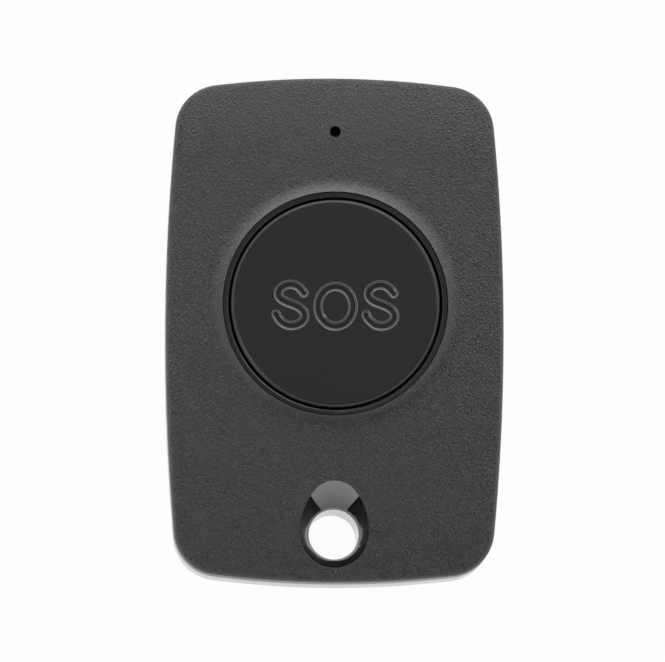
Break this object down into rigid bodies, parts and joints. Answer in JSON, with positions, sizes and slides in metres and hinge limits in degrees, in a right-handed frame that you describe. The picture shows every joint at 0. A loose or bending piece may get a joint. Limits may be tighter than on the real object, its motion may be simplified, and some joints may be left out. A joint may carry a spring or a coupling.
{
  "type": "wireless panic button",
  "caption": "Pocket wireless panic button: flat crowned housing, large round push button in a raised collar, small indicator window, and a lanyard hole in an egg-shaped scoop.",
  "frame": {"origin": "middle of the rear face, on which the button lies", "axes": "+Z out of the front, the way the push button faces; +Y towards the end with the indicator; +X to the right seen from the front"},
  "size_m": [0.0404, 0.0608, 0.0127],
  "materials": {
    "front_cover": "black ABS, fine spark-eroded grain",
    "rear_cover": "white ABS, satin",
    "housing_seal": "silicone cord",
    "light_pipe": "smoked polycarbonate",
    "sos_button": "black ABS, smooth satin",
    "button_membrane": "grey silicone",
    "membrane_retainer": "natural acetal",
    "switch_base": "black nylon",
    "switch_cover": "tinned sheet steel",
    "switch_dome": "spring steel",
    "switch_plunger": "black nylon",
    "switch_terminals": "tinned brass",
    "coin_cell": "stainless steel",
    "cell_clip": "spring steel",
    "cell_contact": "phosphor bronze",
    "cell_pad": "foam",
    "circuit_board": "green solder mask on glass fibre",
    "status_led": "clear resin on a white base",
    "radio_chip": "black moulded epoxy",
    "crystal": "plated lid on ceramic",
    "chip_antenna": "white ceramic",
    "capacitors": "tan ceramic",
    "resistors": "black film on ceramic",
    "board_screws": "zinc plated steel",
    "housing_screws": "stainless steel"
  },
  "bodies": {
    "housing": {"front_cover": "front_cover", "rear_cover": "rear_cover", "housing_seal": "housing_seal", "light_pipe": "light_pipe", "button_membrane": "button_membrane", "membrane_retainer": "membrane_retainer", "switch_base": "switch_base", "switch_cover": "switch_cover", "switch_dome": "switch_dome", "switch_terminals": "switch_terminals", "coin_cell": "coin_cell", "cell_clip": "cell_clip", "cell_contact": "cell_contact", "cell_pad": "cell_pad", "circuit_board": "circuit_board", "status_led": "status_led", "radio_chip": "radio_chip", "crystal": "crystal", "chip_antenna": "chip_antenna", "capacitors": "capacitors", "resistors": "resistors", "board_screws": "board_screws", "housing_screws": "housing_screws"},
    "button": {"sos_button": "sos_button"},
    "plunger": {"switch_plunger": "switch_plunger"}
  },
  "joints": [
    {"name": "button_press", "type": "slide", "parent": "housing", "child": "button", "axis": [0, 0, -1], "range_m": [0, 0.0005], "stiffness_N_per_m": 1500, "springref_m": -0.0005, "deforming": ["button_membrane"]},
    {"name": "plunger_press", "type": "slide", "parent": "housing", "child": "plunger", "axis": [0, 0, -1], "range_m": [0, 0.00025], "deforming": ["switch_dome"]}
  ],
  "couplings": [
    {"joint": "plunger_press", "follows": "button_press", "ratio": 0.5}
  ]
}
